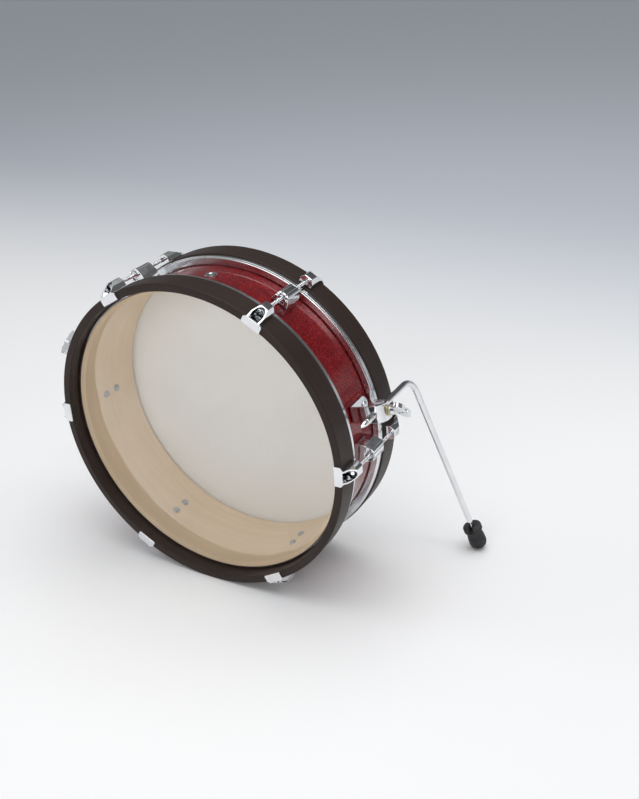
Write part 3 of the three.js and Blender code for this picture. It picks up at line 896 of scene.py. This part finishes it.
def swivel_nut_part():
    """Swivel nut in the end of a lug, with its flange outwards."""
    bore = 2.95
    profile = [(bore, 12.9), (4.5, 12.9), (4.5, 15.8), (5.1, 16.0), (5.1, 17.2), (4.6, 17.7)]
    profile += [(3.4, 17.7), (bore, 17.3)]
    return taken_mesh(turned(profile, "Y", (ROD_CIRCLE, 0), facets=32))


def lug_screw_part():
    """Screw and washer inside the shell that hold one end of a lug."""
    wall = SHELL_RADIUS - SHELL_WALL
    place = 12.5  # along the drum, from the middle of the lug
    rim = [(2.6, wall - 0.05), (6.0, wall - 0.05), (6.0, wall - 1.0), (5.7, wall - 1.3), (2.6, wall - 1.3)]
    washer = turned(rim, "X", (place, 0), 36)
    dome = [(0, wall - 0.9), (4.1, wall - 0.9), (4.1, wall - 3.0), (3.6, wall - 3.7), (2.4, wall - 4.1)]
    head = turned(dome + [(0, wall - 4.2)], "X", (place, 0), 36)
    cross = []
    for a, b in ((2.1, 0.45), (0.45, 2.1)):
        slot = both_sides([(place - a, -b, 0.2), (place + a, -b, 0.2)], 2)
        cross.append(prism(slot, wall - 5, wall - 2.9, "X"))
    head = softened(combine("DIFFERENCE", head, *cross), 0.12, 2)
    return taken_mesh(put_together(washer, head))


def tension_hardware():
    """Claws, lugs, nuts and screws are fixed on the drum; each tension rod turns on its own."""
    claw = claw_part()
    rod = rod_part()
    for head, side in SIDES.items():
        claws = on_rim(head + "_claws", claw.copy(), CAST_CHROME, RIM_PLACES, side=side)
        set_on(claws, "drum", [f"{head}_claw_{place}" for place in PLACES])
        for index, place in enumerate(PLACES):
            name = f"{head}_rod_{place}"
            angle = index * 360 / RIM_PLACES
            made = on_rim(name + "_threaded", rod.copy(), ROD_CHROME, angle=angle, side=side)
            set_on(made, name, [name])
    lugs = on_rim("lugs_die_cast", lug_part(), CAST_CHROME, RIM_PLACES)
    set_on(lugs, "drum", ["lug_" + place for place in PLACES])
    nut = swivel_nut_part()
    screw = lug_screw_part()
    for label, side in (("front", -1), ("rear", 1)):
        nuts = on_rim(f"swivel_nuts_{label}", nut.copy(), ROD_CHROME, RIM_PLACES, side=side)
        set_on(nuts, "drum")
        screws = on_rim(f"lug_screws_{label}", screw.copy(), ZINC_STEEL, RIM_PLACES, side=side)
        set_on(screws, "drum")


# -------- spurs
STRAP_HALF = 12.5
STRAP_SHEET = 3.0
STRAP_NEAR = -14.0
STRAP_FAR = 11.0
STRAP_OUTER = 282.0
STRAP_PLATE_END = 34.0
STRAP_FREE_END = 257.0
PLATE_SCREWS = (-1.0, 23.0)
EYE_STEM = 4.0
SPUR_RADIUS = 4.75
SPUR_ELBOW = 111.0
SPUR_BEND = 26.0
SPUR_TIP = -52.0
PIN_RADIUS = 3.5
SPUR_RUN = Vector((95, 52, -307)).normalized()
FOOT_BALL = 14.0
FOOT_LENGTH = 45.0
BARE_PIN = 9.0


def bracket_part():
    """Bent strap: base plate on the shell, near wall, outer face and a short wall back inwards."""
    base = SHELL_RADIUS + GAP
    sheet, near, far, outer = STRAP_SHEET, STRAP_NEAR, STRAP_FAR, STRAP_OUTER
    outline = rounded(
        [
            (base, STRAP_PLATE_END, 0), (base, near, 4), (outer, near, 13), (outer, far, 6),
            (STRAP_FREE_END, far, 0.8), (STRAP_FREE_END, far - sheet, 0.8),
            (outer - sheet, far - sheet, 3), (outer - sheet, near + sheet, 10),
            (base + sheet, near + sheet, 1), (base + sheet, STRAP_PLATE_END, 0),
        ],
        8,
    )
    round_end = STRAP_HALF - 0.1
    plan = both_sides([(near - 1, -STRAP_HALF, 0), (STRAP_PLATE_END, -STRAP_HALF, round_end)], 14)
    body = prism(outline, -STRAP_HALF, STRAP_HALF, "Z")
    body = combine("INTERSECT", body, prism(plan, base - 1, outer + 1, "X"))
    tools = [bar(SPUR_RADIUS + 0.6, near - 1, far + 1, "Y", (SPUR_CIRCLE, 0), 40)]
    tools.append(bar(EYE_STEM + 0.5, outer - sheet - 1, outer + 1, "X", facets=36))
    tools.extend(bar(2.6, base - 1, base + sheet + 1, "X", (y, 0), 28) for y in PLATE_SCREWS)
    return taken_mesh(softened(combine("DIFFERENCE", body, *tools), 0.4))


def plate_screw_part(y):
    """Plain domed machine screw through the base plate."""
    end = SHELL_RADIUS + GAP
    seat = end + STRAP_SHEET + GAP
    rim, rise = 0.9, 2.1
    profile = [(0, end), (2.2, end), (2.2, seat), (5.2, seat), (5.5, seat + 0.3), (5.5, seat + rim)]
    dome = [(5.5 * math.cos(a), seat + rim + rise * math.sin(a)) for a in (0.35, 0.7, 1.05, 1.35)]
    head = turned(profile + dome + [(0, seat + rim + rise)], "X", (y, 0), 40)
    return taken_mesh(softened(head, 0.15, 2))


def eye_bolt_part():
    """Eye bolt: a bored drum on the spur rod and a threaded stem out through the strap."""
    seat = 275.5
    end = 304.0
    low = 256.5
    stem = EYE_STEM - 0.3
    profile = [(0, low), (6.8, low), (7.5, low + 0.7), (7.5, seat - 0.6), (6.9, seat), (stem, seat)]
    profile += [(stem, end - 1.0), (stem - 0.9, end), (0, end)]
    body = turned(profile, "X", facets=44)
    bore = bar(SPUR_RADIUS + GAP, -9, 9, "Y", (SPUR_CIRCLE, 0), 44)
    body = softened(combine("DIFFERENCE", body, bore), 0.3)
    winding = {"radius": EYE_STEM - 0.5, "ridge": 0.45, "pitch": 1.25}
    thread = grown("thread", THREAD, start=STRAP_OUTER + 0.6, length=end - STRAP_OUTER - 2, **winding)
    turn_mesh(thread, Matrix.Rotation(math.pi / 2, 4, "Y"))
    return taken_mesh(put_together(body, thread))


def lock_washer_part():
    """Two flat washers with a split spring washer between them."""
    start = STRAP_OUTER + GAP
    rings = []
    for low, high in ((start, start + 1.1), (start + 3.5, start + 4.6)):
        profile = [(4.3, low), (7.7, low), (8.0, low + 0.25), (8.0, high - 0.25), (7.7, high), (4.3, high)]
        rings.append(turned(profile, "X", facets=48))
    winding = {"radius": 6.0, "ridge": 1.35, "pitch": 1.08, "steps": 44, "sides": 4}
    spring = grown("spring", THREAD, start=start + 1.75, length=1.0, **winding)
    flatten = Matrix.Diagonal((1, 1, 0.62, 1))
    middle = Matrix.Translation((0, 0, start + 2.3))
    turn_mesh(spring, Matrix.Rotation(math.pi / 2, 4, "Y") @ middle @ flatten @ middle.inverted())
    return taken_mesh(put_together(*rings, spring))


def wing_nut_part():
    """Wing nut: a flared hub and a thick bar with rounded ends across it."""
    seat = STRAP_OUTER + 2 * GAP + 4.6
    hub, half, start, end = 12.0, 21.0, 8.0, 23.0
    parked = math.radians(-45)
    flare = [(0, seat), (6.2, seat), (6.5, seat + 0.4), (6.2, seat + 3), (6.0, seat + hub), (0, seat + hub)]
    barrel = turned(flare, "X", facets=40)
    outline = both_sides(
        [
            (seat + start, -6.5, 3), (seat + start + 4, 1 - half, 3), (seat + end - 3, -half, 2.5),
            (seat + end, -half * 0.6, 5),
        ]
    )
    wings = prism(outline, -4, 4, "Z")
    body = combine("UNION", wings, barrel)
    bore = bar(EYE_STEM + GAP, seat - 1, seat + end + 1, "X", facets=36)
    body = combine("DIFFERENCE", body, bore)
    body = softened(body, 1.1, 4)
    return taken_mesh(turn_mesh(body, Matrix.Rotation(parked, 4, "X")))


def spur_axis():
    angle = math.radians(SPUR_ANGLE)
    return Vector((SPUR_CIRCLE * math.cos(angle), 0, SPUR_CIRCLE * math.sin(angle)))


def foot_centre():
    elbow = spur_axis() + Vector((0, SPUR_ELBOW, 0))
    drop = elbow.z + HOOP_RADIUS - FOOT_BALL
    return elbow - SPUR_RUN * drop / SPUR_RUN.z


def along_leg():
    """Turns a part drawn up the Z axis to lie up the lower leg, from the middle of the foot's ball."""
    turn = Vector((0, 0, 1)).rotation_difference(-SPUR_RUN).to_matrix().to_4x4()
    return Matrix.Translation(foot_centre()) @ turn


def spur_leg_part():
    """Spur leg in the drum's axes: bullet nose with its groove, bent rod, and the pin into the foot."""
    axis, elbow, foot = spur_axis(), spur_axis() + Vector((0, SPUR_ELBOW, 0)), foot_centre()
    pin_top = FOOT_LENGTH - FOOT_BALL + BARE_PIN
    tip, root = SPUR_TIP, SPUR_TIP + 17
    start = axis + Vector((0, root, 0))
    leg_end = foot - SPUR_RUN * pin_top
    turn = Vector((0, 1, 0)).angle(SPUR_RUN)
    path = line_mesh([start, elbow, leg_end])
    bend = SPUR_BEND / math.tan(turn / 2)
    rod = grown("leg", BENT_ROD, path, radius=SPUR_RADIUS, bend=bend, finish=ROD_CHROME)
    groove = SPUR_RADIUS - 0.65
    profile = [(0, tip), (0.9, tip + 0.25), (1.7, tip + 1.2), (2.9, tip + 4.5), (3.9, tip + 8.0)]
    profile += [(4.5, tip + 11.5), (SPUR_RADIUS, tip + 14.6), (SPUR_RADIUS, tip + 15.4)]
    profile += [(groove, tip + 15.8), (groove, tip + 16.6), (SPUR_RADIUS, root), (0, root)]
    nose = turned(profile, "Y", (axis.x, axis.z), 40)
    pin_bottom = FOOT_LENGTH - FOOT_BALL - 26
    profile = [(0, pin_bottom), (PIN_RADIUS, pin_bottom), (PIN_RADIUS, pin_top - 0.8), (4.0, pin_top)]
    profile += [(4.6, pin_top + 0.5), (0, pin_top + 0.5)]
    pin = turned(profile, "Z", facets=32)
    return put_together(rod, nose, turn_mesh(pin, along_leg()))


def foot_part():
    """Moulded rubber foot: ball, waist, and a ring with a groove round it and a notch in front."""
    top = FOOT_LENGTH - FOOT_BALL
    ball = FOOT_BALL - 0.2
    grip = 14.8
    angles = [math.radians(10 * step) for step in range(1, 10)]
    profile = [(0, -ball)] + [(ball * math.sin(a), -ball * math.cos(a)) for a in angles]
    profile += [(ball, 3), (13.6, 7.5), (13.0, 12), (12.5, 16), (12.3, 18.6), (12.9, top - 10.4)]
    profile += [(14.2, top - 9.6), (grip, top - 8.4), (grip, top - 6.2), (14.3, top - 5.7)]
    profile += [(14.3, top - 5.0), (grip, top - 4.5), (grip, top - 2.2), (14.2, top - 0.8)]
    profile += [(12.8, top), (5.4, top), (4.6, top - 0.5), (3.8, top - 1.4), (3.8, top - 27), (0, top - 27)]
    opening = rounded([(-3.6, -17, 0), (3.6, -17, 0), (3.6, 0, 0), (-3.6, 0, 0)], 2)
    notch = prism(opening, top - 8.4, top + 1, "Z")
    turn_mesh(notch, Matrix.Rotation(math.radians(15), 4, "Z"))
    body = combine("DIFFERENCE", turned(profile, "Z", facets=56), notch)
    return turn_mesh(body, along_leg())


def spur_pieces():
    for side in ("right", "left"):
        right = side == "right"
        angle = SPUR_ANGLE if right else 180 - SPUR_ANGLE
        strap = on_rim(f"spur_strap_{side}", bracket_part(), BENT_CHROME, angle=angle)
        set_on(strap, "drum", ["spur_bracket_" + side])
        for number, y in enumerate(PLATE_SCREWS, 1):
            name = f"plate_screw_{side}_{number}"
            screw = on_rim(name, plate_screw_part(y), BENT_CHROME, angle=angle)
            set_on(screw, "drum", [f"bracket_screw_{side}_{number}"])
        eye = on_rim(f"eye_bolt_{side}_threaded", eye_bolt_part(), ROD_CHROME, angle=angle)
        set_on(eye, "drum", ["eye_bolt_" + side])
        washer = on_rim(f"lock_washers_{side}", lock_washer_part(), WASHER_STEEL, angle=angle)
        set_on(washer, "drum", ["spring_washer_" + side])
        nut = on_rim(f"wing_nut_{side}_cast", wing_nut_part(), CAST_CHROME, angle=angle)
        set_on(nut, "wing_nut_" + side, ["wing_nut_" + side])
        to_frame = TO_FRAME if right else TO_FRAME @ Matrix.Scale(-1, 4, (1, 0, 0))
        for part, name, finish, slot in (
            (spur_leg_part(), "spur_leg_" + side, ROD_CHROME, "chrome"),
            (foot_part(), "spur_foot_" + side, RUBBER, "rubber"),
        ):
            turn_mesh(part, to_frame)
            if not right:
                part.data.flip_normals()
            part.name = name + ("_bent" if slot == "chrome" else "_moulded")
            part.data.materials.clear()
            part.data.materials.append(finish)
            set_on(shaded(part), name, [name])


shell_pieces()
vent_grommet_piece()
hoop_pieces()
head_pieces()
tension_hardware()
spur_pieces()


# -------- floor, light and camera
def studio():
    """A wide pale floor with painted shade that turns it bluish grey further back, large soft boxes and a
    room that is pale at the horizon and dim above it.
    """
    scene = bpy.context.scene
    floor_mesh = bpy.data.meshes.new("floor")
    reach = 30.0
    verts = [(x * reach, y * reach, 0) for x, y in ((-1, -1), (1, -1), (1, 1), (-1, 1))]
    floor_mesh.from_pydata(verts, [], [(0, 1, 2, 3)])
    floor = bpy.data.objects.new("floor", floor_mesh)
    scene.collection.objects.link(floor)
    paper = Finish("studio_paper", Roughness=0.7)
    tone = paper.wires.noise(paper.position, 0.8, 2.0)
    near = paper.wires.blend(tone, (0.915, 0.918, 0.925, 1), (0.94, 0.942, 0.948, 1))
    # Painted shade: from 0.5 m to 2 m back the floor fades to bluish grey, standing in for light falling off
    # with distance.
    depth = paper.wires.add("ShaderNodeSeparateXYZ", {0: paper.position}).outputs[1]
    painted_far_shade = paper.wires.add("ShaderNodeMapRange", {0: depth, 1: 0.5, 2: 2.0}, interpolation_type="SMOOTHSTEP")
    paper.feed("Base Color", paper.wires.blend(painted_far_shade.outputs[0], near, (0.62, 0.66, 0.73, 1)))
    floor_mesh.materials.append(paper.material)
    for name, place, aim, size, power, colour in (
        ("overhead", (0.3, 0.1, 2.9), (0, 0.1, 0), (3.2, 2.8), 50, (1.0, 1.0, 1.0)),
        ("left_bank", (-2.9, -0.9, 1.5), (0, 0, 0.3), (1.0, 2.0), 14, (0.97, 0.98, 1.0)),
        ("front_bank", (0.6, -3.4, 1.9), (0, 0, 0.25), (2.8, 1.4), 32, (1.0, 1.0, 1.0)),
        ("right_bank", (3.1, 0.6, 1.2), (0, 0, 0.25), (0.9, 1.8), 12, (1.0, 0.99, 0.98)),
    ):
        lamp = bpy.data.lights.new(name, "AREA")
        lamp.shape = "RECTANGLE"
        lamp.size, lamp.size_y = size
        lamp.energy = power
        lamp.color = colour
        light = bpy.data.objects.new(name, lamp)
        light.location = place
        light.rotation_euler = (Vector(aim) - Vector(place)).to_track_quat("-Z", "Y").to_euler()
        scene.collection.objects.link(light)
    world = bpy.data.worlds.new("room")
    scene.world = world
    world.use_nodes = True
    wires = Wiring(world.node_tree)
    way = wires.add("ShaderNodeTexCoord").outputs["Generated"]
    height = wires.add("ShaderNodeSeparateXYZ", {0: way}).outputs[2]
    levels = ((0.0, 0.8), (0.1, 0.75), (0.18, 0.22), (0.62, 0.12), (0.74, 0.8), (1.0, 1.1))
    sky = wires.ramp(height, [(place, (level * 0.97, level * 0.985, level)) for place, level in levels])
    background = world.node_tree.nodes["Background"]
    wires.link(sky, background.inputs["Color"])
    background.inputs["Strength"].default_value = 0.68


CAMERA_PLACE = Vector((0.8151, -1.1592, 0.9718))
CAMERA_AIM = CAMERA_PLACE + 1.5 * Vector((-0.4470, 0.7682, -0.4583))
CAMERA_ROLL = -0.0581


def camera():
    """Above and to the right of the batter head, looking down at the drum."""
    scene = bpy.context.scene
    data = bpy.data.cameras.new("camera")
    data.lens = 46.05
    data.sensor_width = 36
    data.clip_start = 0.05
    eye = bpy.data.objects.new("camera", data)
    scene.collection.objects.link(eye)
    eye.location = CAMERA_PLACE
    look = (CAMERA_AIM - CAMERA_PLACE).to_track_quat("-Z", "Y")
    eye.rotation_euler = (look.to_matrix() @ Matrix.Rotation(CAMERA_ROLL, 3, "Z")).to_euler()
    scene.camera = eye


studio()
camera()
bpy.context.scene.view_settings.view_transform = "Standard"
